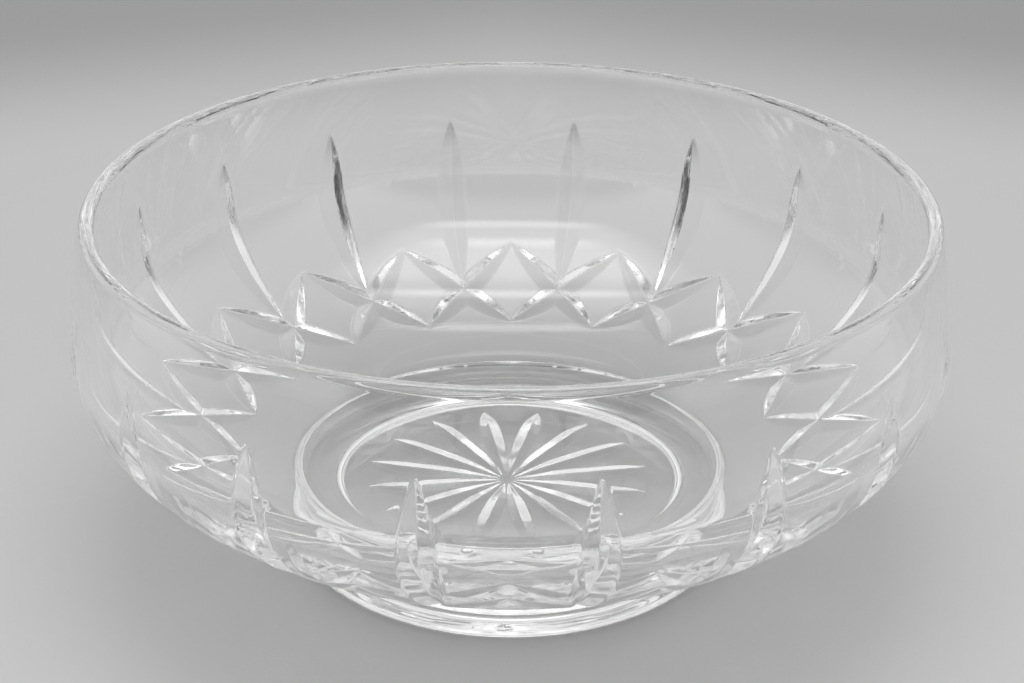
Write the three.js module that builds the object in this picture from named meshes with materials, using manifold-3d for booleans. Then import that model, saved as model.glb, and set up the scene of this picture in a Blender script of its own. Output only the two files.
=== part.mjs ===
// Footed cut-glass serving bowl: a blown body with mitre cuts, on a foot with a star-cut base.
// Millimetres, +Z up. The origin is the centre of the ring that the foot stands on.
import * as THREE from "three";
import { mergeVertices } from "three/addons/utils/BufferGeometryUtils.js";
import Module from "manifold-3d";

const wasm = await Module();
wasm.setup();

// Heights, from the table up
const FOOT_THICKNESS = 7.5;
const BOSS_HEIGHT = 7.9;
const BOWL_RISE = 41.7;
const SHOULDER_HEIGHT = 31.3;

// Outside radii, and how far the waist above the foot stands back from it
const FOOT_RADIUS = 55.4;
const WAIST_INSET = 2.4;
const RIM_RADIUS = 100;
const BELLY_SWELL = 4.2;

// Glass thickness
const LIP_THICKNESS = 3.8;
const BELLY_WALL = 3.3;
const LOWER_WALL = 7.2;
const FLOOR_THICKNESS = 9.5;

// Bend inside, from the wall into the flat floor, from this far outside the waist to this far within it
const HEEL_OUTSET = 6;
const FLOOR_INSET = 24;

// Edges and fillets
const LIP_ROUND = 1.9;
const COVE_SIZE = 3;
const FOOT_EDGE = 1.2;

// Slightly domed hollow under the foot
const RING_WIDTH = 10.4;
const HOLLOW_SLOPE = 1;
const HOLLOW_EDGE = 1;
const HOLLOW_DOME = 0.4;

// Band of mitre cuts round the body, made with a wheel whose edge is a wide V
const CUT_COUNT = 18;
const MITRE_HALF_ANGLE = THREE.MathUtils.degToRad(60);
const FLUTE_BELOW_RIM = 18;
const FLUTE_DEPTH = 2.1;
const CROSS_TOP = 19.1;
const CROSS_BOTTOM = 4.7;
const CROSS_SAG = 0.1;
const CROSS_DEPTH = 1.8;
const FLUTE_ABOVE_CROSS = 0.6;

// Star of mitre cuts under the base
const STAR_RAYS = 16;
const STAR_MARGIN = 7.7;
const STAR_DOT = 2;
const STAR_DEPTH = 1.4;

// How far along a cut it is deepest: halfway on the body, further out on a ray of the star
const BAND_PEAK = 0.5;
const RAY_PEAK = 0.62;

// How blunt the ends of a cut are: a parabola at 2, fuller above it
const LEAF_POWER = 2.6;

// A cutter stands this far out of the glass, and its line runs out this far above the surface
const CUTTER_LIFT = 1;
const TIP_LIFT = 0.12;

// Facets round the axis, along the cuts and along each curve of the section
const BODY_SEGMENTS = CUT_COUNT * 4;
const FOOT_SEGMENTS = STAR_RAYS * 4;
const FLUTE_STEPS = 8;
const CROSS_STEPS = 8;
const RAY_STEPS = 5;
const COVE_STEPS = 3;
const OUTER_LOWER_STEPS = 8;
const OUTER_UPPER_STEPS = 3;
const LIP_STEPS = 6;
const INNER_UPPER_STEPS = 2;
const INNER_LOWER_STEPS = 7;
const HEEL_STEPS = 4;
const DOME_STEPS = 4;
const EDGE_STEPS = 2;
const FLARE_STEPS = 4;

// Corners closer than this are one corner
const WELD = 1e-4;

const bellyRadius = RIM_RADIUS + BELLY_SWELL;
const waistRadius = FOOT_RADIUS - WAIST_INSET;
const waistHeight = FOOT_THICKNESS + BOSS_HEIGHT;
const bellyHeight = waistHeight + BOWL_RISE;
const overallHeight = bellyHeight + SHOULDER_HEIGHT;
const lipBase = overallHeight - LIP_ROUND;
const ringInside = FOOT_RADIUS - RING_WIDTH;
const hollowRadius = ringInside - HOLLOW_SLOPE;
const starRadius = hollowRadius - STAR_MARGIN;

// Each wall is an ellipse, widest at the belly, that passes through one given point above or below it.
function ellipseHeight(widest, radius, height) {
  return Math.abs(height - bellyHeight) / Math.sqrt(1 - (radius / widest) ** 2);
}

const innerBelly = bellyRadius - BELLY_WALL;
const innerRim = RIM_RADIUS - LIP_THICKNESS;
const innerFloor = FOOT_THICKNESS + FLOOR_THICKNESS;
const outerUpper = ellipseHeight(bellyRadius, RIM_RADIUS, lipBase);
const outerLower = ellipseHeight(bellyRadius, waistRadius, waistHeight);
const innerUpper = ellipseHeight(innerBelly, innerRim, lipBase);
const innerLower = outerLower - LOWER_WALL;
const heelRadius = waistRadius + HEEL_OUTSET;
const heelAngle = -Math.acos(heelRadius / innerBelly);

// Outside radius of the body at a height between the waist and the lip.
function outerRadius(height) {
  const semi = height < bellyHeight ? outerLower : outerUpper;
  return bellyRadius * Math.sqrt(1 - ((height - bellyHeight) / semi) ** 2);
}

// Points on a curve, without its first one, which the curve before it already gave.
function follow(curve, steps) {
  return curve.getPoints(steps).slice(1);
}

// Quarter or part of an ellipse about the axis at the belly, from one parameter angle to another.
function wallArc(radius, semi, from, to) {
  return new THREE.EllipseCurve(0, bellyHeight, radius, semi, from, to, to < from);
}

// Bend from the foot of the inner wall into the flat floor. Its corner is where the wall's slope meets
// the floor.
function heelBend() {
  const start = new THREE.Vector2(heelRadius, bellyHeight + innerLower * Math.sin(heelAngle));
  const slope = -innerLower / (innerBelly * Math.tan(heelAngle));
  const corner = heelRadius - (start.y - innerFloor) / slope;
  return new THREE.QuadraticBezierCurve(
    start,
    new THREE.Vector2(corner, innerFloor),
    new THREE.Vector2(Math.min(corner, waistRadius - FLOOR_INSET), innerFloor),
  );
}

// Half section of the body, from the axis at the seam, out, up, over the lip and down the inside.
function bodyProfile() {
  const coveRadius = waistRadius + COVE_SIZE;
  const coveAngle = -Math.acos(coveRadius / bellyRadius);
  const coveTop = bellyHeight + outerLower * Math.sin(coveAngle);
  const rimAngle = Math.acos(RIM_RADIUS / bellyRadius);
  const innerRimAngle = Math.acos(innerRim / innerBelly);
  const cove = new THREE.QuadraticBezierCurve(
    new THREE.Vector2(waistRadius, coveTop - COVE_SIZE),
    new THREE.Vector2(waistRadius, waistHeight),
    new THREE.Vector2(coveRadius, coveTop),
  );
  const lip = new THREE.EllipseCurve(
    RIM_RADIUS - LIP_THICKNESS / 2, lipBase, LIP_THICKNESS / 2, LIP_ROUND, 0, Math.PI, false,
  );
  return [
    new THREE.Vector2(0, FOOT_THICKNESS),
    new THREE.Vector2(waistRadius, FOOT_THICKNESS),
    ...cove.getPoints(COVE_STEPS),
    ...follow(wallArc(bellyRadius, outerLower, coveAngle, 0), OUTER_LOWER_STEPS),
    ...follow(wallArc(bellyRadius, outerUpper, 0, rimAngle), OUTER_UPPER_STEPS),
    ...follow(lip, LIP_STEPS),
    ...follow(wallArc(innerBelly, innerUpper, innerRimAngle, 0), INNER_UPPER_STEPS),
    ...follow(wallArc(innerBelly, innerLower, 0, heelAngle), INNER_LOWER_STEPS),
    ...follow(heelBend(), HEEL_STEPS),
    new THREE.Vector2(0, innerFloor),
  ];
}

// Height of the hollow's domed ceiling above the table at a radius.
function ceilingHeight(radius) {
  return HOLLOW_EDGE + HOLLOW_DOME * (1 - (radius / hollowRadius) ** 2);
}

// Half section of the foot, from the axis under the hollow, out over the ring, up and back along the seam.
function footProfile() {
  const edge = new THREE.QuadraticBezierCurve(
    new THREE.Vector2(FOOT_RADIUS - FOOT_EDGE, 0),
    new THREE.Vector2(FOOT_RADIUS, 0),
    new THREE.Vector2(FOOT_RADIUS, FOOT_EDGE),
  );
  const flare = new THREE.QuadraticBezierCurve(
    new THREE.Vector2(FOOT_RADIUS, FOOT_EDGE),
    new THREE.Vector2(waistRadius, FOOT_THICKNESS / 2),
    new THREE.Vector2(waistRadius, FOOT_THICKNESS),
  );
  const dome = [];
  for (let i = 0; i <= DOME_STEPS; i += 1) {
    const radius = (hollowRadius * i) / DOME_STEPS;
    dome.push(new THREE.Vector2(radius, ceilingHeight(radius)));
  }
  return [
    ...dome,
    new THREE.Vector2(ringInside, 0),
    ...edge.getPoints(EDGE_STEPS),
    ...follow(flare, FLARE_STEPS),
    new THREE.Vector2(0, FOOT_THICKNESS),
  ];
}

// Solid from a closed geometry: only positions are kept, and the flat triangles at the axis are dropped.
function solidOf(geometry) {
  const bare = new THREE.BufferGeometry();
  bare.setAttribute("position", geometry.getAttribute("position"));
  bare.setIndex(geometry.getIndex());
  const merged = mergeVertices(bare, WELD);
  const index = merged.getIndex().array;
  const kept = [];
  for (let i = 0; i < index.length; i += 3) {
    const [a, b, c] = [index[i], index[i + 1], index[i + 2]];
    if (a !== b && b !== c && c !== a) kept.push(a, b, c);
  }
  return new wasm.Manifold(
    new wasm.Mesh({
      numProp: 3,
      vertProperties: new Float32Array(merged.getAttribute("position").array),
      triVerts: new Uint32Array(kept),
    }),
  );
}

// Geometry from a solid.
function geometryOf(solid) {
  const mesh = solid.getMesh();
  const geometry = new THREE.BufferGeometry();
  geometry.setAttribute("position", new THREE.BufferAttribute(mesh.vertProperties, 3));
  geometry.setIndex(new THREE.BufferAttribute(mesh.triVerts, 1));
  geometry.computeVertexNormals();
  return geometry;
}

// Solid of revolution about +Z.
function revolve(profile, segments) {
  const lathe = new THREE.LatheGeometry(profile, segments);
  lathe.rotateX(Math.PI / 2);
  return solidOf(lathe);
}

// Point on the outside of the body, with the direction straight out of the glass there.
function bodySpot(azimuth, height) {
  const semi = height < bellyHeight ? outerLower : outerUpper;
  const radius = outerRadius(height);
  const outward = new THREE.Vector2(radius / bellyRadius ** 2, (height - bellyHeight) / semi ** 2);
  outward.normalize();
  const [cos, sin] = [Math.cos(azimuth), Math.sin(azimuth)];
  return {
    point: new THREE.Vector3(radius * cos, radius * sin, height),
    out: new THREE.Vector3(outward.x * cos, outward.x * sin, outward.y),
  };
}

// Point on the ceiling of the hollow under the foot.
function baseSpot(azimuth, radius) {
  return {
    point: new THREE.Vector3(radius * Math.cos(azimuth), radius * Math.sin(azimuth), ceilingHeight(radius)),
    out: new THREE.Vector3(0, 0, -1),
  };
}

// Share of a cut's full depth at a share of its length: none at both ends, all of it at the peak.
function leafDepth(share, peak) {
  const run = share < peak ? peak : 1 - peak;
  return 1 - Math.abs((share - peak) / run) ** LEAF_POWER;
}

// Cutter for one pointed mitre cut, a V that runs out to a point at both ends.
// spotAt gives the surface at a share of the cut's length.
function mitreCutter(spotAt, depth, peak, steps) {
  const corners = [];
  const spread = Math.tan(MITRE_HALF_ANGLE);
  for (let i = 0; i <= steps; i += 1) {
    const share = i / steps;
    const { point, out } = spotAt(share);
    const ahead = spotAt(Math.min(1, share + 1 / steps)).point;
    const behind = spotAt(Math.max(0, share - 1 / steps)).point;
    const side = ahead.clone().sub(behind).cross(out).normalize();
    const sink = (depth + TIP_LIFT) * leafDepth(share, peak) - TIP_LIFT;
    const half = (sink + CUTTER_LIFT) * spread;
    const top = point.clone().addScaledVector(out, CUTTER_LIFT);
    corners.push(
      point.clone().addScaledVector(out, -sink),
      top.clone().addScaledVector(side, half),
      top.clone().addScaledVector(side, -half),
    );
  }
  const index = [0, 1, 2];
  for (let i = 0; i < steps; i += 1) {
    for (let side = 0; side < 3; side += 1) {
      const a = 3 * i + side;
      const b = 3 * i + ((side + 1) % 3);
      index.push(a, a + 3, b, b, a + 3, b + 3);
    }
  }
  const last = 3 * steps;
  index.push(last, last + 2, last + 1);
  const geometry = new THREE.BufferGeometry().setFromPoints(corners);
  geometry.setIndex(index);
  return solidOf(geometry);
}

// How far round the lower wall's ellipse a height lies, from the belly down.
function wallAngle(height) {
  return Math.asin((bellyHeight - height) / outerLower);
}

const crossTopAngle = wallAngle(waistHeight + CROSS_TOP);
const crossBottomAngle = wallAngle(waistHeight + CROSS_BOTTOM);

// Height on the lower wall at a share of the way along a cross cut, from its top tip down. The cut sags a
// little, so that the two of a cross meet below the middle.
function crossHeight(share) {
  const sagged = share + CROSS_SAG * (1 - (2 * share - 1) ** 2);
  const angle = THREE.MathUtils.lerp(crossTopAngle, crossBottomAngle, sagged);
  return bellyHeight - outerLower * Math.sin(angle);
}

// Upright flute from under the rim down to the middle of its cross.
function fluteCutter(azimuth) {
  const top = overallHeight - FLUTE_BELOW_RIM;
  const bottom = crossHeight(0.5) + FLUTE_ABOVE_CROSS;
  const spotAt = (share) => bodySpot(azimuth, THREE.MathUtils.lerp(top, bottom, share));
  return mitreCutter(spotAt, FLUTE_DEPTH, BAND_PEAK, FLUTE_STEPS);
}

// One of the two long cuts that cross under a flute. Its tips lie halfway to the next flutes, where the
// tips of the neighbouring crosses meet them.
function crossCutter(azimuth, turn) {
  const reach = (turn * Math.PI) / CUT_COUNT;
  const spotAt = (share) => bodySpot(azimuth + reach * (2 * share - 1), crossHeight(share));
  return mitreCutter(spotAt, CROSS_DEPTH, BAND_PEAK, CROSS_STEPS);
}

// All the cutters of the body's band, one flute and one cross at each place round it.
function bandCutters() {
  const cutters = [];
  for (let i = 0; i < CUT_COUNT; i += 1) {
    const azimuth = (2 * Math.PI * i) / CUT_COUNT;
    cutters.push(fluteCutter(azimuth), crossCutter(azimuth, 1), crossCutter(azimuth, -1));
  }
  return cutters;
}

// All the cutters of the star, with a small round left plain at its middle.
function starCutters() {
  const cutters = [];
  for (let i = 0; i < STAR_RAYS; i += 1) {
    const azimuth = (2 * Math.PI * (i + 0.5)) / STAR_RAYS;
    const spotAt = (share) => baseSpot(azimuth, THREE.MathUtils.lerp(STAR_DOT, starRadius, share));
    cutters.push(mitreCutter(spotAt, STAR_DEPTH, RAY_PEAK, RAY_STEPS));
  }
  return cutters;
}

// Blank with every cut taken out of it, one after another as on the wheel.
function cutGlass(blank, cutters) {
  return cutters.reduce((glass, cutter) => glass.subtract(cutter), blank);
}

function glassMesh(name, solid, material) {
  const mesh = new THREE.Mesh(geometryOf(solid), material);
  mesh.name = name;
  return mesh;
}

const bodyGlass = new THREE.MeshStandardMaterial({
  color: 0xeef2f2,
  roughness: 0.02,
  metalness: 0,
  transparent: true,
  opacity: 0.35,
  flatShading: true,
});

const footGlass = new THREE.MeshStandardMaterial({
  color: 0xe6ecec,
  roughness: 0.04,
  metalness: 0,
  transparent: true,
  opacity: 0.4,
  flatShading: true,
});

const body = cutGlass(revolve(bodyProfile(), BODY_SEGMENTS), bandCutters());
const foot = cutGlass(revolve(footProfile(), FOOT_SEGMENTS), starCutters());

const bowl = new THREE.Group();
bowl.name = "cut_glass_bowl";
bowl.add(glassMesh("bowl_body", body, bodyGlass));
bowl.add(glassMesh("foot", foot, footGlass));

export default bowl;
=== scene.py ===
"""Clear cut glass bowl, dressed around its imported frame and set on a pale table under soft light."""

from __future__ import annotations

import logging
import math
from dataclasses import dataclass
from enum import Enum, IntEnum, auto

import bmesh
import bpy
import numpy as np
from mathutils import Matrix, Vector

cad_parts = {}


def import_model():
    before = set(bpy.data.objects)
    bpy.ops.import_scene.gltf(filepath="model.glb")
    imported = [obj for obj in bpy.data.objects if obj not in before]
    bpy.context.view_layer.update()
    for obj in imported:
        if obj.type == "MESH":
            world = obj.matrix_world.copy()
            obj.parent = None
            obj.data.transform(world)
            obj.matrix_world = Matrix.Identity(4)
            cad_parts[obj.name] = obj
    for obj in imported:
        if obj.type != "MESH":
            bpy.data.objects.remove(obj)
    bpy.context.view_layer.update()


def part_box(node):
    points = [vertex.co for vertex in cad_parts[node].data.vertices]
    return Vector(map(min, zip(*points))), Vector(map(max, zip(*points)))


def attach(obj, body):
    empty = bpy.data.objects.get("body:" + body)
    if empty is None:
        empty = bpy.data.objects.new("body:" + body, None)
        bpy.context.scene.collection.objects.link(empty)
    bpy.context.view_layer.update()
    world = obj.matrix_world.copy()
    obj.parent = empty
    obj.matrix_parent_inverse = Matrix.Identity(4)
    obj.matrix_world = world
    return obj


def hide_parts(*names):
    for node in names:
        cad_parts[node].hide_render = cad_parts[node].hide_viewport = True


LOG = logging.getLogger("cut_glass_bowl")
MM = 0.001
GLASS_BOUNCES = 32
GLOSSY_BOUNCES = 24

Point = tuple[float, float]
Span = tuple[float, float]
Colour = tuple[float, float, float]


class Surface(IntEnum):
    """How a face of the bowl was finished, which is also its material slot."""

    WALL = 0
    CUT = 1
    RING = 2
    STAR = 3


@dataclass(frozen=True)
class WallEllipse:
    """One wall of the bowl: an ellipse about the axis, with its own reach above and below the belly."""

    level: float
    widest: float
    above: float
    below: float

    @staticmethod
    def reach(level: float, widest: float, radius: float, height: float) -> float:
        """Finds how far an ellipse reaches so that it passes through one point.

        Args:
            level: Height of the belly.
            widest: Radius at the belly.
            radius: Radius of the point.
            height: Height of the point.

        Returns:
            The ellipse's half height on the point's side of the belly.
        """
        return abs(height - level) / math.sqrt(1 - (radius / widest) ** 2)

    def half_height(self, angle: float) -> float:
        """Returns the half height on the side of the belly that an angle lies on."""
        return self.above if angle > 0 else self.below

    def angle_at(self, height: float) -> float:
        """Returns the angle round the ellipse of a point at a height."""
        return math.asin((height - self.level) / (self.above if height > self.level else self.below))

    def point(self, angle: float) -> Point:
        """Returns the radius and height at an angle."""
        return self.widest * math.cos(angle), self.level + self.half_height(angle) * math.sin(angle)

    def outward(self, angle: float) -> Point:
        """Returns the direction straight out of the wall at an angle, as radius and height."""
        across = math.cos(angle) / self.widest
        along = math.sin(angle) / self.half_height(angle)
        length = math.hypot(across, along)
        return across / length, along / length

    def arc(self, start: float, end: float, steps: int) -> list[Point]:
        """Lists points along the wall from one angle to another, without the first.

        Args:
            start: Angle to start from.
            end: Angle to end at.
            steps: How many points.

        Returns:
            The points, as radius and height.
        """
        return [self.point(start + (end - start) * i / steps) for i in range(1, steps + 1)]


def bend(corners: list[Point], steps: int) -> list[Point]:
    """Lists points along a Bezier curve, without its first.

    Args:
        corners: Control points of the curve.
        steps: How many points.

    Returns:
        The points, as radius and height.
    """
    points = []
    for i in range(1, steps + 1):
        rest = [Vector(corner) for corner in corners]
        while len(rest) > 1:
            rest = [a.lerp(b, i / steps) for a, b in zip(rest, rest[1:])]
        points.append((rest[0].x, rest[0].y))
    return points


class Zone(Enum):
    """What a level of the glass can carry."""

    PLAIN = auto()
    BAND = auto()
    HOLLOW = auto()
    RING = auto()


@dataclass(frozen=True)
class Level:
    """One ring of points round the axis, with the direction in which a cut goes into the glass."""

    radius: float
    height: float
    zone: Zone = Zone.PLAIN
    inward: Point = (0.0, 0.0)
    angle: float = 0.0


@dataclass(frozen=True)
class GlassSection:
    """Half section of the bowl, in metres from the axis and above the table."""

    height: float
    belly_radius: float
    foot_radius: float
    seam_height: float
    boss_height: float = 7.9 * MM
    bowl_rise: float = 41.7 * MM
    rim_inset: float = 4.2 * MM
    waist_inset: float = 2.4 * MM
    lip_thickness: float = 3.8 * MM
    lip_round: float = 1.9 * MM
    lip_pull: float = 0.55
    lip_crest: float = 0.28
    lip_inner_lean: float = 0.3
    belly_wall: float = 3.3 * MM
    lower_wall: float = 7.2 * MM
    floor_thickness: float = 9.5 * MM
    heel_outset: float = 6.0 * MM
    floor_inset: float = 24.0 * MM
    cove_size: float = 3.0 * MM
    foot_edge: float = 2.2 * MM
    ring_shoulder: float = 4.4 * MM
    ring_width: float = 10.4 * MM
    hollow_edge: float = 1.7 * MM
    hollow_dome: float = 0.4 * MM
    hollow_slope: float = 1.0 * MM
    hollow_bend: float = 1.6 * MM
    fine_step: float = 0.48 * MM
    upper_stretch: float = 1.4
    wall_steps: int = 32
    bend_steps: int = 10
    ring_steps: int = 4

    @classmethod
    def from_frame(cls) -> GlassSection:
        """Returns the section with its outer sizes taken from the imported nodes."""
        body_low, body_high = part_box("bowl_body")
        foot_low, foot_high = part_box("foot")
        return cls(
            height=body_high.z - foot_low.z,
            belly_radius=body_high.y,
            foot_radius=foot_high.x,
            seam_height=body_low.z,
        )

    @property
    def waist_height(self) -> float:
        """Height where the body springs from the foot."""
        return self.seam_height + self.boss_height

    @property
    def belly_height(self) -> float:
        """Height where the bowl is widest."""
        return self.waist_height + self.bowl_rise

    @property
    def lip_base(self) -> float:
        """Height where the wall rounds into the lip."""
        return self.height - self.lip_round

    @property
    def waist_radius(self) -> float:
        """Radius just above the foot."""
        return self.foot_radius - self.waist_inset

    @property
    def rim_radius(self) -> float:
        """Outer radius at the lip."""
        return self.belly_radius - self.rim_inset

    @property
    def hollow_radius(self) -> float:
        """Radius of the hollow under the foot, inside its slope."""
        return self.foot_radius - self.ring_width - self.hollow_slope

    @property
    def outer(self) -> WallEllipse:
        """Outside of the wall."""
        level, widest = self.belly_height, self.belly_radius
        return WallEllipse(
            level,
            widest,
            above=WallEllipse.reach(level, widest, self.rim_radius, self.lip_base),
            below=WallEllipse.reach(level, widest, self.waist_radius, self.waist_height),
        )

    @property
    def inner(self) -> WallEllipse:
        """Inside of the wall, down to where it bends into the floor."""
        level, widest = self.belly_height, self.belly_radius - self.belly_wall
        return WallEllipse(
            level,
            widest,
            above=WallEllipse.reach(level, widest, self.rim_radius - self.lip_thickness, self.lip_base),
            below=self.outer.below - self.lower_wall,
        )

    def hollow_level(self, radius: float) -> Level:
        """Returns the level of the domed hollow at a radius."""
        height = self.hollow_edge + self.hollow_dome * (1 - (radius / self.hollow_radius) ** 2)
        return Level(radius, height, Zone.HOLLOW, (0.0, 1.0))

    def hollow_levels(self) -> list[Level]:
        """Returns the domed hollow under the foot, from the axis out."""
        steps = round(self.hollow_radius / self.fine_step)
        return [self.hollow_level(self.hollow_radius * i / steps) for i in range(steps + 1)]

    def band_level(self, angle: float) -> Level:
        """Returns the level of the outer wall at an angle round its ellipse."""
        across, rise = self.outer.outward(angle)
        return Level(*self.outer.point(angle), Zone.BAND, (-across, -rise), angle)

    def beside(self, level: Level, step: float) -> Level:
        """Finds a level close to a cut one, on the same surface.

        Args:
            level: Level of the hollow or of the outer wall.
            step: Distance to go on along the section.

        Returns:
            The level there.
        """
        if level.zone is Zone.HOLLOW:
            return self.hollow_level(level.radius + step)
        return self.band_level(level.angle + step / self.belly_radius)

    def foot_levels(self) -> list[Level]:
        """Returns the contact ring and the foot's flared side, up to the waist."""
        inside, radius, waist = self.hollow_radius, self.foot_radius, self.waist_radius
        ring_inside, ring_outside = inside + self.ring_shoulder, radius - self.ring_shoulder
        width, steps = ring_outside - ring_inside, self.ring_steps
        slope = [(inside, self.hollow_edge), (inside + self.hollow_bend, 0.0), (ring_inside, 0.0)]
        edge = [(ring_outside, 0.0), (radius, 0.0), (radius, self.foot_edge)]
        flare = [(radius, self.foot_edge), (waist, self.seam_height / 2), (waist, self.seam_height)]
        ring = [(ring_inside + width * i / steps, 0.0) for i in range(1, steps + 1)]
        return [
            *[Level(*point, Zone.RING) for point in bend(slope, self.bend_steps) + ring],
            *plain(bend(edge, self.bend_steps)),
            *plain(bend(flare, self.bend_steps)),
        ]

    def band_levels(self, start: float, end: float, step: float) -> list[Level]:
        """Lists levels up the outer wall, without the first.

        Args:
            start: Angle round the wall to start from.
            end: Angle to end at.
            step: Distance between levels.

        Returns:
            The levels, which can carry cuts.
        """
        low, high = Vector(self.outer.point(start)), Vector(self.outer.point(end))
        steps = math.ceil((high - low).length / step)
        return [self.band_level(start + (end - start) * i / steps) for i in range(1, steps + 1)]

    def lip_outline(self) -> list[Point]:
        """Returns the lip's outline, rounded smoothly from the outer wall over to the inner one."""
        outside = Vector((self.rim_radius, self.lip_base))
        inside = outside - Vector((self.lip_thickness, 0.0))
        crest = Vector(((outside.x + inside.x) / 2, self.height))
        lean = self.outer.outward(self.outer.angle_at(self.lip_base))
        rise = Vector((-lean[1], lean[0])) * self.lip_round * self.lip_pull
        level = Vector((self.lip_thickness * self.lip_crest, 0.0))
        over = bend([outside[:], (outside + rise)[:], (crest + level)[:], crest[:]], self.bend_steps)
        rise.x = -rise.x * self.lip_inner_lean
        back = bend([crest[:], (crest - level)[:], (inside + rise)[:], inside[:]], self.bend_steps)
        return over + back

    def inside_outline(self) -> list[Point]:
        """Returns the inside, from under the lip down the wall and along the flat floor to the axis."""
        wall, floor = self.inner, self.seam_height + self.floor_thickness
        heel = -math.acos((self.waist_radius + self.heel_outset) / wall.widest)
        start = wall.point(heel)
        fall = -math.tan(heel) * wall.widest / wall.below
        corner = start[0] - (start[1] - floor) * fall
        flat = min(corner, self.waist_radius - self.floor_inset)
        return [
            *wall.arc(wall.angle_at(self.lip_base), 0.0, self.wall_steps // 2),
            *wall.arc(0.0, heel, self.wall_steps),
            *bend([start, (corner, floor), (flat, floor)], self.wall_steps),
            (flat / 2, floor),
            (0.0, floor),
        ]

    def levels(self) -> list[Level]:
        """Returns the whole section, from the axis under the foot round to the axis inside the bowl."""
        outer = self.outer
        cove_radius = self.waist_radius + self.cove_size
        cove_angle = -math.acos(cove_radius / outer.widest)
        cove_top = outer.point(cove_angle)[1]
        cove_foot = (self.waist_radius, cove_top - self.cove_size)
        cove = [cove_foot, (self.waist_radius, self.waist_height), (cove_radius, cove_top)]
        return [
            *self.hollow_levels(),
            *self.foot_levels(),
            *plain([cove_foot, *bend(cove, self.bend_steps)]),
            *self.band_levels(cove_angle, 0.0, self.fine_step),
            *self.band_levels(0.0, outer.angle_at(self.lip_base), self.fine_step * self.upper_stretch),
            *plain(self.lip_outline()),
            *plain(self.inside_outline()),
        ]


def plain(points: list[Point]) -> list[Level]:
    """Turns points of an outline into levels that carry nothing."""
    return [Level(radius, height) for radius, height in points]


@dataclass(frozen=True)
class MitreWheel:
    """Wheel with a V edge, and the polish that softens what it cuts."""

    half_angle: float = math.radians(60)
    root_round: float = 0.06 * MM
    polish: float = 0.08 * MM
    bluntness: float = 2.6
    clear_of_glass: float = -1 * MM

    def leaf(self, share: np.ndarray, peak: float) -> np.ndarray:
        """Returns the share of the full depth at a share of a cut's length, below zero past its ends."""
        run = np.where(share < peak, peak, 1 - peak)
        return 1 - np.abs((share - peak) / run) ** self.bluntness

    def sink(self, across: np.ndarray, depth: np.ndarray) -> np.ndarray:
        """Works out how far a cut lies under the surface.

        Args:
            across: Distance from the cut's middle line.
            depth: Depth on that line.

        Returns:
            The depth, below zero where the wheel doesn't reach the glass.
        """
        return depth - (np.hypot(across, self.root_round) - self.root_round) / math.tan(self.half_angle)

    def polished(self, sinks: list[np.ndarray]) -> np.ndarray:
        """Joins cuts into one surface with softened edges.

        Args:
            sinks: Depth of each cut over the same points.

        Returns:
            The depth of the glass that is gone.
        """
        held = [np.maximum(sink, self.clear_of_glass) for sink in sinks]
        return self.polish * np.log1p(sum(np.exp(sink / self.polish) for sink in held))


def nearest(azimuth: np.ndarray, count: int) -> np.ndarray:
    """Returns the angle from the nearest of a number of even places round the axis."""
    pitch = 2 * math.pi / count
    return (azimuth + pitch / 2) % pitch - pitch / 2


@dataclass(frozen=True)
class CutBand:
    """Band of mitre cuts round the body: upright flutes over crosses whose tips meet."""

    count: int = 18
    flute_below_rim: float = 18.0 * MM
    flute_depth: float = 2.3 * MM
    flute_above_cross: float = 0.6 * MM
    cross_top: float = 19.1 * MM
    cross_bottom: float = 4.7 * MM
    cross_sag: float = 0.1
    cross_depth: float = 2.1 * MM
    peak: float = 0.5
    lowest: float = 1.15
    wheel: MitreWheel = MitreWheel()

    def depth(self, section: GlassSection, level: Level, azimuth: np.ndarray) -> np.ndarray:
        """Works out the depth of the cuts along one level of the wall.

        Args:
            section: Section of the bowl that is cut.
            level: Level of its outer wall.
            azimuth: Angles round the axis.

        Returns:
            The depth at each angle.
        """
        wall, angle = section.outer, level.angle
        top = wall.angle_at(section.waist_height + self.cross_top)
        bottom = wall.angle_at(section.waist_height + self.cross_bottom)
        flute_top = section.height - self.flute_below_rim
        middle = top + (bottom - top) * (0.5 + self.cross_sag)
        flute_bottom = wall.point(middle)[1] + self.flute_above_cross
        share = np.full_like(azimuth, (flute_top - level.height) / (flute_top - flute_bottom))
        across = level.radius * np.sin(nearest(azimuth, self.count))
        sinks = [self.wheel.sink(across, self.flute_depth * self.wheel.leaf(share, self.peak))]
        drop = min((angle - top) / (bottom - top), self.lowest)
        bow = 1 + 4 * self.cross_sag
        share = 2 * drop / (bow + math.sqrt(bow**2 - 16 * self.cross_sag * drop))
        rise = math.hypot(wall.widest * math.sin(angle), wall.half_height(angle) * math.cos(angle))
        run = 2 * math.pi / self.count * level.radius
        fall = rise * (top - bottom) * (bow - 8 * self.cross_sag * share)
        length = math.hypot(run, fall)
        for lean in (1, -1):
            line = lean * math.pi / self.count * (2 * share - 1)
            aside = level.radius * nearest(azimuth - line, self.count)
            along = share + lean * aside * run / length**2
            depth = self.cross_depth * self.wheel.leaf(along, self.peak)
            sinks.append(self.wheel.sink(aside * fall / length, depth))
        return self.wheel.polished(sinks)


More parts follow.
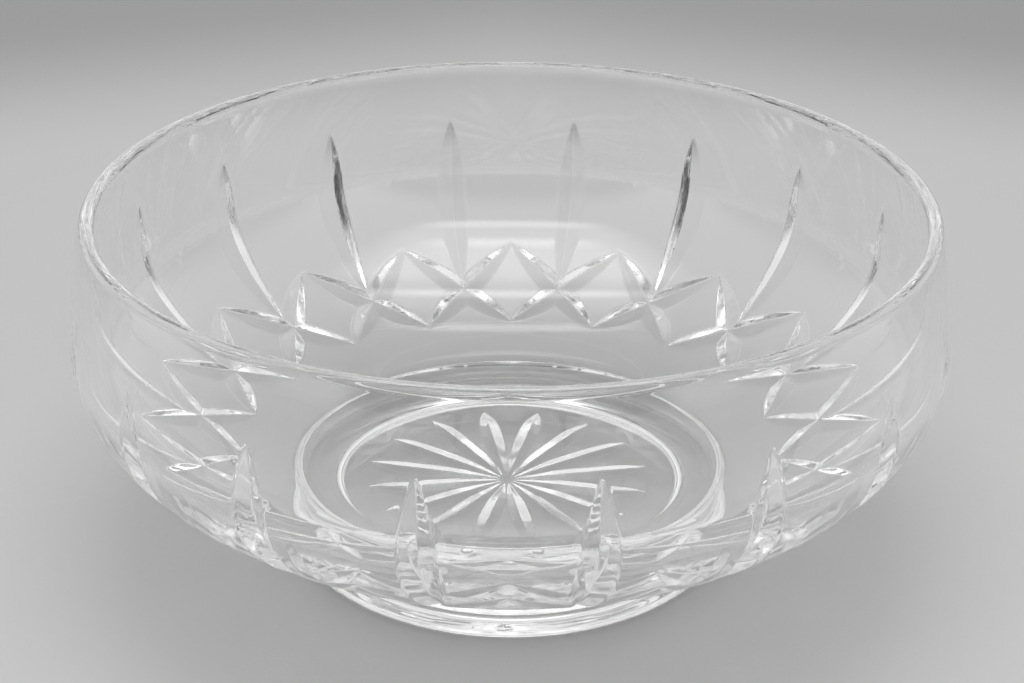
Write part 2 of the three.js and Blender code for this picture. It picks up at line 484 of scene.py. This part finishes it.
@dataclass(frozen=True)
class BaseStar:
    """Star of mitre cuts in the hollow under the foot, a little turned and off centre, round a plain dot."""

    rays: int = 16
    margin: float = 7.0 * MM
    dot: float = 2.0 * MM
    ray_depth: float = 1.1 * MM
    turn: float = math.radians(-1.3)
    offset: float = -0.6 * MM
    peak: float = 0.62
    wheel: MitreWheel = MitreWheel(math.radians(68), root_round=0.05 * MM, polish=0.06 * MM, bluntness=3.0)

    def depth(self, section: GlassSection, level: Level, azimuth: np.ndarray) -> np.ndarray:
        """Works out the depth of the rays along one level of the hollow.

        Args:
            section: Section of the bowl that is cut.
            level: Level of the hollow.
            azimuth: Angles round the axis.

        Returns:
            The depth at each angle.
        """
        tip = section.hollow_radius - self.margin
        across, along = level.radius * np.cos(azimuth) - self.offset, level.radius * np.sin(azimuth)
        reach = np.hypot(across, along)
        aside = nearest(np.arctan2(along, across) - self.turn - math.pi / self.rays, self.rays)
        share = (reach * np.cos(aside) - self.dot) / (tip - self.dot)
        depth = self.ray_depth * self.wheel.leaf(share, self.peak)
        return self.wheel.polished([self.wheel.sink(reach * np.sin(aside), depth)])


def object_of(name: str, data: bpy.types.ID) -> bpy.types.Object:
    """Puts a mesh, a light or a camera into the scene as an object."""
    made = bpy.data.objects.new(name, data)
    bpy.context.scene.collection.objects.link(made)
    return made


def grey(tone: float) -> tuple[float, float, float, float]:
    """Returns a neutral colour, as a shader socket takes it."""
    return tone, tone, tone, 1.0


def math_node(tree: bpy.types.NodeTree, operation: str, second: float = 0.5) -> bpy.types.Node:
    """Adds a math node to a tree.

    Args:
        tree: Tree to add it to.
        operation: What the node works out.
        second: Its second value, unless that is linked.

    Returns:
        The node.
    """
    made = tree.nodes.new("ShaderNodeMath")
    made.operation = operation
    made.inputs[1].default_value = second
    return made


def fade_node(tree: bpy.types.NodeTree, span: Span) -> bpy.types.Node:
    """Adds a node that fades smoothly from 0 to 1 over a span of its value."""
    made = tree.nodes.new("ShaderNodeMapRange")
    made.interpolation_type = "SMOOTHSTEP"
    made.inputs["From Min"].default_value, made.inputs["From Max"].default_value = span
    return made


def blend_node(tree: bpy.types.NodeTree, first: float, second: float) -> bpy.types.Node:
    """Adds a node that blends from one grey tone to another.

    Args:
        tree: Tree to add it to.
        first: Tone at 0, unless that is linked.
        second: Tone at 1, unless that is linked.

    Returns:
        The node.
    """
    made = tree.nodes.new("ShaderNodeMix")
    made.data_type = "RGBA"
    made.inputs["A"].default_value = grey(first)
    made.inputs["B"].default_value = grey(second)
    return made


class NodeGroups:
    """Shader node groups that the bowl's finishes share, each made once."""

    SLOW_DETAIL = 1.0
    QUICK_DETAIL = 2.0
    QUICK_RATIO = 7.0
    HAZE_DETAIL = 6.0
    HAZE_ROUGHNESS = 0.65
    HAZE_SPAN: Span = (0.5, 0.8)

    @staticmethod
    def _start(name: str, inputs: list[tuple[str, float]], outputs: list[str]) -> bpy.types.NodeTree:
        """Makes an empty group with float sockets.

        Args:
            name: Name of the group.
            inputs: Name and default of each input.
            outputs: Name of each output.

        Returns:
            The group, with its input and output nodes.
        """
        tree = bpy.data.node_groups.new(name, "ShaderNodeTree")
        for label, value in inputs:
            socket = tree.interface.new_socket(label, in_out="INPUT", socket_type="NodeSocketFloat")
            socket.default_value = value
        for label in outputs:
            tree.interface.new_socket(label, in_out="OUTPUT", socket_type="NodeSocketFloat")
        tree.nodes.new("NodeGroupInput").name = "in"
        tree.nodes.new("NodeGroupOutput").name = "out"
        return tree

    @classmethod
    def ripple(cls) -> bpy.types.NodeTree:
        """Returns the slow waviness that hand work leaves in glass, as a height."""
        name = "glass_ripple"
        if name in bpy.data.node_groups:
            return bpy.data.node_groups[name]
        tree = cls._start(name, [("Scale", 40.0), ("Fine", 0.2)], ["Height"])
        nodes, link = tree.nodes, tree.links.new
        place = nodes.new("ShaderNodeTexCoord")
        slow = nodes.new("ShaderNodeTexNoise")
        slow.inputs["Detail"].default_value = cls.SLOW_DETAIL
        quick = nodes.new("ShaderNodeTexNoise")
        quick.inputs["Detail"].default_value = cls.QUICK_DETAIL
        faster = math_node(tree, "MULTIPLY", cls.QUICK_RATIO)
        total = math_node(tree, "MULTIPLY_ADD")
        link(place.outputs["Object"], slow.inputs["Vector"])
        link(place.outputs["Object"], quick.inputs["Vector"])
        link(nodes["in"].outputs["Scale"], slow.inputs["Scale"])
        link(nodes["in"].outputs["Scale"], faster.inputs[0])
        link(faster.outputs[0], quick.inputs["Scale"])
        link(quick.outputs["Fac"], total.inputs[0])
        link(nodes["in"].outputs["Fine"], total.inputs[1])
        link(slow.outputs["Fac"], total.inputs[2])
        link(total.outputs[0], nodes["out"].inputs["Height"])
        return tree

    @classmethod
    def haze(cls) -> bpy.types.NodeTree:
        """Returns the patchy film that handling and washing leave on glass, as a roughness."""
        name = "glass_haze"
        if name in bpy.data.node_groups:
            return bpy.data.node_groups[name]
        tree = cls._start(name, [("Scale", 30.0), ("Clean", 0.0), ("Hazy", 0.03)], ["Roughness"])
        nodes, link = tree.nodes, tree.links.new
        place = nodes.new("ShaderNodeTexCoord")
        patches = nodes.new("ShaderNodeTexNoise")
        patches.inputs["Detail"].default_value = cls.HAZE_DETAIL
        patches.inputs["Roughness"].default_value = cls.HAZE_ROUGHNESS
        spread = fade_node(tree, cls.HAZE_SPAN)
        link(place.outputs["Object"], patches.inputs["Vector"])
        link(nodes["in"].outputs["Scale"], patches.inputs["Scale"])
        link(patches.outputs["Fac"], spread.inputs["Value"])
        link(nodes["in"].outputs["Clean"], spread.inputs["To Min"])
        link(nodes["in"].outputs["Hazy"], spread.inputs["To Max"])
        link(spread.outputs["Result"], nodes["out"].inputs["Roughness"])
        return tree


@dataclass(frozen=True)
class CrystalFinish:
    """Finish of one kind of surface on clear crystal."""

    name: str
    tint: Colour = (0.996, 0.998, 0.997)
    index: float = 1.545
    clean: float = 0.0
    hazy: float = 0.02
    haze_scale: float = 34.0
    ripple_scale: float = 38.0
    ripple_height: float = 0.02 * MM
    ripple_fine: float = 0.03

    def material(self) -> bpy.types.Material:
        """Returns the finish as a material."""
        made = bpy.data.materials.new(self.name)
        made.use_nodes = True
        nodes, link = made.node_tree.nodes, made.node_tree.links.new
        glass = nodes["Principled BSDF"]
        glass.inputs["Base Color"].default_value = (*self.tint, 1.0)
        glass.inputs["IOR"].default_value = self.index
        glass.inputs["Transmission Weight"].default_value = 1.0
        haze = nodes.new("ShaderNodeGroup")
        haze.node_tree = NodeGroups.haze()
        haze.inputs["Scale"].default_value = self.haze_scale
        haze.inputs["Clean"].default_value = self.clean
        haze.inputs["Hazy"].default_value = self.hazy
        ripple = nodes.new("ShaderNodeGroup")
        ripple.node_tree = NodeGroups.ripple()
        ripple.inputs["Scale"].default_value = self.ripple_scale
        ripple.inputs["Fine"].default_value = self.ripple_fine
        bump = nodes.new("ShaderNodeBump")
        bump.inputs["Strength"].default_value = 1.0
        bump.inputs["Distance"].default_value = self.ripple_height
        link(haze.outputs["Roughness"], glass.inputs["Roughness"])
        link(ripple.outputs["Height"], bump.inputs["Height"])
        link(bump.outputs["Normal"], glass.inputs["Normal"])
        return made


FINISHES = {
    Surface.WALL: CrystalFinish("fire_polished_crystal", ripple_height=0.008 * MM, ripple_fine=0.0),
    Surface.CUT: CrystalFinish(
        "polished_mitre_cut", hazy=0.03, ripple_scale=150.0, ripple_height=0.03 * MM, ripple_fine=0.4
    ),
    Surface.RING: CrystalFinish(
        "worn_foot_ring", clean=0.01, hazy=0.06, ripple_scale=70.0, ripple_height=0.12 * MM
    ),
    Surface.STAR: CrystalFinish(
        "polished_star_cut_painted_shade",
        # Painted shade: the grey tint darkens the star's cuts, standing in for the shadow its rays cast on
        # the table just beneath.
        tint=(0.92, 0.925, 0.925),
        ripple_scale=220.0,
        ripple_height=0.03 * MM,
        ripple_fine=0.6,
    ),
}


@dataclass
class CutGlassBowl:
    """The bowl: one piece of clear glass, cut on the outside and under the base."""

    section: GlassSection
    band: CutBand = CutBand()
    star: BaseStar = BaseStar()
    columns: int = 1080
    cut_from: float = 0.12 * MM
    probe: float = 0.002 * MM

    def build(self) -> bpy.types.Object:
        """Returns the finished bowl, riding on the frame in place of its two solids."""
        levels = self.section.levels()
        azimuth = (np.arange(self.columns) + 0.5) * (2 * math.pi / self.columns)
        rings = np.concatenate([self.ring(level, azimuth) for level in levels[1:-1]])
        ends = [np.array([[0.0, 0.0, level.height]]) for level in (levels[0], levels[-1])]
        data = bpy.data.meshes.new("bowl_glass")
        data.from_pydata(np.concatenate([ends[0], rings, ends[1]]), [], self.faces(len(levels)))
        data.shade_smooth()
        self.dress(data, levels, azimuth)
        data.normals_split_custom_set_from_vertices(self.normals(levels, azimuth))
        bowl = object_of("bowl_glass", data)
        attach(bowl, "root")
        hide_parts("bowl_body", "foot")
        return bowl

    def cut_depth(self, level: Level, azimuth: np.ndarray) -> np.ndarray:
        """Returns how deep the glass is cut along one level."""
        if level.zone is Zone.BAND:
            return self.band.depth(self.section, level, azimuth)
        if level.zone is Zone.HOLLOW:
            return self.star.depth(self.section, level, azimuth)
        return np.zeros_like(azimuth)

    def ring(self, level: Level, azimuth: np.ndarray) -> np.ndarray:
        """Returns the points of one level with its cuts, one row for each angle round the axis."""
        depth = self.cut_depth(level, azimuth)
        radius = level.radius + level.inward[0] * depth
        height = level.height + level.inward[1] * depth
        return np.stack([radius * np.cos(azimuth), radius * np.sin(azimuth), height], axis=1)

    def normals(self, levels: list[Level], azimuth: np.ndarray) -> np.ndarray:
        """Works out the direction straight out of the glass, so that the edges of the cuts stay crisp.

        Args:
            levels: Levels of the section, with both ends on the axis.
            azimuth: Angles round the axis.

        Returns:
            One row for each point of the mesh.
        """
        rows = [np.array([[0.0, 0.0, -1.0]])]
        for before, level, after in zip(levels, levels[1:], levels[2:]):
            if level.zone in (Zone.BAND, Zone.HOLLOW):
                before, after = (self.section.beside(level, step) for step in (-self.probe, self.probe))
            turn = self.probe / level.radius
            around = self.ring(level, azimuth + turn) - self.ring(level, azimuth - turn)
            across = np.cross(around, self.ring(after, azimuth) - self.ring(before, azimuth))
            rows.append(across / np.linalg.norm(across, axis=1, keepdims=True))
        return np.concatenate([*rows, np.array([[0.0, 0.0, 1.0]])])

    def faces(self, count: int) -> list[tuple[int, ...]]:
        """Lists the mesh's faces, level by level.

        Args:
            count: How many levels there are.

        Returns:
            The points of each face: triangles round the axis and squares between.
        """
        size = self.columns
        last = 1 + (count - 2) * size
        pairs = [(j, (j + 1) % size) for j in range(size)]
        faces: list[tuple[int, ...]] = [(0, 1 + k, 1 + j) for j, k in pairs]
        for low in range(1, last - size, size):
            high = low + size
            faces += [(low + j, low + k, high + k, high + j) for j, k in pairs]
        return faces + [(last - size + j, last - size + k, last) for j, k in pairs]

    def dress(self, data: bpy.types.Mesh, levels: list[Level], azimuth: np.ndarray) -> None:
        """Gives each face its finish.

        Args:
            data: Mesh of the bowl.
            levels: Levels of the section.
            azimuth: Angles round the axis.
        """
        for surface in Surface:
            data.materials.append(FINISHES[surface].material())
        slots = []
        for level in levels[1:]:
            uncut = Surface.RING if level.zone is Zone.RING else Surface.WALL
            wheel = Surface.STAR if level.zone is Zone.HOLLOW else Surface.CUT
            cut = self.cut_depth(level, azimuth) > self.cut_from
            slots.append(np.where(cut, int(wheel), int(uncut)))
        data.polygons.foreach_set("material_index", np.concatenate(slots).astype(np.int32))


@dataclass
class PaperSweep:
    """Pale paper that the bowl stands on: painted light makes it lightest in front and round the bowl's
    shadow, painted shade makes it dimmer behind, and it turns white far out.
    """

    reach: float = 3.0
    # Painted light: the paper is lighter in front and under the bowl, lifting the bowl's shadow and the
    # shade of the dark opening.
    painted_light_tone: float = 0.65
    tone: float = 0.57
    # Painted shade: the paper darkens far behind, standing in for dimmer light at the back, and the
    # darkening reaches further forward at the sides.
    painted_shade_tone: float = 0.375
    outer_tone: float = 0.9
    painted_light_fade: Span = (-0.10, 0.14)
    painted_shade_fade: Span = (0.31, 0.50)
    painted_shade_spread: float = 0.35
    outer_fade: Span = (0.56, 0.85)
    roughness: float = 0.9
    specular: float = 0.1
    grain_scale: float = 900.0
    grain_height: float = 0.03 * MM
    gap: float = 0.1 * MM

    def material(self) -> bpy.types.Material:
        """Returns the paper's material."""
        made = bpy.data.materials.new("matt_paper")
        made.use_nodes = True
        tree = made.node_tree
        nodes, link = tree.nodes, tree.links.new
        paper = nodes["Principled BSDF"]
        paper.inputs["Roughness"].default_value = self.roughness
        paper.inputs["Specular IOR Level"].default_value = self.specular
        place = nodes.new("ShaderNodeTexCoord")
        split = nodes.new("ShaderNodeSeparateXYZ")
        reach = nodes.new("ShaderNodeVectorMath")
        reach.operation = "LENGTH"
        aside = math_node(tree, "ABSOLUTE")
        painted_shade_place = math_node(tree, "MULTIPLY_ADD", self.painted_shade_spread)
        grain = nodes.new("ShaderNodeTexNoise")
        grain.inputs["Scale"].default_value = self.grain_scale
        bump = nodes.new("ShaderNodeBump")
        bump.inputs["Distance"].default_value = self.grain_height
        link(place.outputs["Object"], split.inputs["Vector"])
        link(place.outputs["Object"], grain.inputs["Vector"])
        link(place.outputs["Object"], reach.inputs[0])
        link(split.outputs["X"], aside.inputs[0])
        link(aside.outputs[0], painted_shade_place.inputs[0])
        link(split.outputs["Y"], painted_shade_place.inputs[2])
        below = None
        # Painted light in front, the paper's own tone in the middle, painted shade behind, then white far
        # out.
        for where, span, before, after in (
            (split.outputs["Y"], self.painted_light_fade, self.painted_light_tone, self.tone),
            (painted_shade_place.outputs[0], self.painted_shade_fade, self.tone, self.painted_shade_tone),
            (reach.outputs["Value"], self.outer_fade, self.painted_shade_tone, self.outer_tone),
        ):
            fade = fade_node(tree, span)
            blend = blend_node(tree, before, after)
            link(where, fade.inputs["Value"])
            link(fade.outputs["Result"], blend.inputs["Factor"])
            if below:
                link(below, blend.inputs["A"])
            below = blend.outputs["Result"]
        link(below, paper.inputs["Base Color"])
        link(grain.outputs["Fac"], bump.inputs["Height"])
        link(bump.outputs["Normal"], paper.inputs["Normal"])
        return made

    def build(self) -> bpy.types.Object:
        """Returns the paper."""
        mesh = bmesh.new()
        bmesh.ops.create_grid(mesh, x_segments=1, y_segments=1, size=self.reach)
        data = bpy.data.meshes.new("paper_sweep")
        mesh.to_mesh(data)
        mesh.free()
        data.materials.append(self.material())
        paper = object_of("paper_sweep", data)
        paper.location.z = -self.gap
        return paper


@dataclass(frozen=True)
class Panel:
    """One flat light panel that faces straight down."""

    name: str
    place: tuple[float, float, float]
    width: float
    depth: float
    radiance: float
    soft_ends: float = 0.3
    soft_sides: float = 0.3
    middle: float = 0.5

    def build(self) -> bpy.types.Object:
        """Returns the panel as an area light."""
        light = bpy.data.lights.new(self.name, "AREA")
        light.shape = "RECTANGLE"
        light.size = self.width
        light.size_y = self.depth
        light.energy = self.radiance * math.pi * self.width * self.depth
        self.soften(light)
        made = object_of(self.name, light)
        made.location = self.place
        return made

    def soften(self, light: bpy.types.AreaLight) -> None:
        """Fades the panel towards its edges, as cloth over a lamp does."""
        light.use_nodes = True
        tree = light.node_tree
        nodes, link = tree.nodes, tree.links.new
        place = nodes.new("ShaderNodeNewGeometry")
        split = nodes.new("ShaderNodeSeparateXYZ")
        both = math_node(tree, "MULTIPLY")
        link(place.outputs["Parametric"], split.inputs["Vector"])
        for i, soft in enumerate((self.soft_ends, self.soft_sides)):
            edge = math_node(tree, "PINGPONG", self.middle)
            fade = fade_node(tree, (0.0, soft))
            link(split.outputs[i], edge.inputs[0])
            link(edge.outputs[0], fade.inputs["Value"])
            link(fade.outputs["Result"], both.inputs[i])
        link(both.outputs[0], nodes["Emission"].inputs["Strength"])


@dataclass
class LightTent:
    """White light box: a ceiling panel with two brighter strips, dark sides, and a dark opening in front."""

    ceiling: Panel = Panel(
        "ceiling_panel", (0.0, 0.06, 0.70), 0.60, 0.46, 1.8, soft_ends=0.2, soft_sides=0.2
    )
    front_strip: Panel = Panel("front_strip", (0.0, -0.16, 0.68), 0.52, 0.14, 4.0, soft_sides=0.5)
    back_strip: Panel = Panel("back_strip", (0.0, 0.30, 0.68), 0.36, 0.06, 3.4, soft_sides=0.5)
    walls: float = 1.1
    roof: float = 0.78
    sides: float = 0.12
    opening: float = 0.04
    roof_from: float = 0.6
    sides_fade: Span = (0.8, 0.96)
    opening_fade: Span = (-0.86, -0.72)

    def build(self) -> None:
        """Hangs the panels and puts up the box's walls and opening."""
        for panel in (self.ceiling, self.front_strip, self.back_strip):
            panel.build()
        world = bpy.data.worlds.new("light_box")
        world.use_nodes = True
        tree = world.node_tree
        nodes, link = tree.nodes, tree.links.new
        place = nodes.new("ShaderNodeTexCoord")
        split = nodes.new("ShaderNodeSeparateXYZ")
        aside = math_node(tree, "ABSOLUTE")
        turn = fade_node(tree, self.sides_fade)
        wall = blend_node(tree, self.walls, self.sides)
        rise = nodes.new("ShaderNodeMapRange")
        rise.inputs["From Max"].default_value = self.roof_from
        tent = blend_node(tree, self.walls, self.roof)
        edge = fade_node(tree, self.opening_fade)
        box = blend_node(tree, self.opening, self.walls)
        link(place.outputs["Generated"], split.inputs["Vector"])
        link(split.outputs["X"], aside.inputs[0])
        link(aside.outputs[0], turn.inputs["Value"])
        link(turn.outputs["Result"], wall.inputs["Factor"])
        link(wall.outputs["Result"], tent.inputs["A"])
        link(split.outputs["Z"], rise.inputs["Value"])
        link(rise.outputs["Result"], tent.inputs["Factor"])
        link(tent.outputs["Result"], box.inputs["B"])
        link(split.outputs["Y"], edge.inputs["Value"])
        link(edge.outputs["Result"], box.inputs["Factor"])
        link(box.outputs["Result"], nodes["Background"].inputs["Color"])
        bpy.context.scene.world = world


@dataclass(frozen=True)
class PhotoCamera:
    """Camera at the photograph's angle: in front of the bowl and looking down into it."""

    aside: float = 0.4 * MM
    distance: float = 0.4124
    height: float = 0.25386
    pitch: float = math.radians(26.376)
    roll: float = 0.007
    lens: float = 66.37

    def build(self) -> bpy.types.Object:
        """Returns the camera, set as the scene's own."""
        data = bpy.data.cameras.new("photo_camera")
        data.lens = self.lens
        made = object_of("photo_camera", data)
        made.location = (self.aside, -self.distance, self.height)
        made.rotation_mode = "ZXY"
        made.rotation_euler = (math.pi / 2 - self.pitch, 0.0, self.roll)
        bpy.context.scene.camera = made
        return made


def set_light_paths() -> None:
    """Lets light pass through the many faces of the cut glass, and keeps colours plain."""
    scene = bpy.context.scene
    scene.view_settings.view_transform = "Standard"
    scene.cycles.max_bounces = GLASS_BOUNCES
    scene.cycles.transmission_bounces = GLASS_BOUNCES
    scene.cycles.glossy_bounces = GLOSSY_BOUNCES


def main() -> None:
    """Builds the bowl, what it stands on, its light and the camera."""
    logging.basicConfig(level=logging.INFO, format="%(name)s: %(message)s")
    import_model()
    set_light_paths()
    bowl = CutGlassBowl(GlassSection.from_frame()).build()
    LOG.info("%s: %d faces", bowl.name, len(bowl.data.polygons))
    paper = PaperSweep().build()
    LOG.info("%s: %d face", paper.name, len(paper.data.polygons))
    LightTent().build()
    LOG.info("light tent: %d lights", len(bpy.data.lights))
    camera = PhotoCamera().build()
    LOG.info("%s: %.1f mm lens", camera.name, camera.data.lens)


if __name__ == "__main__":
    main()
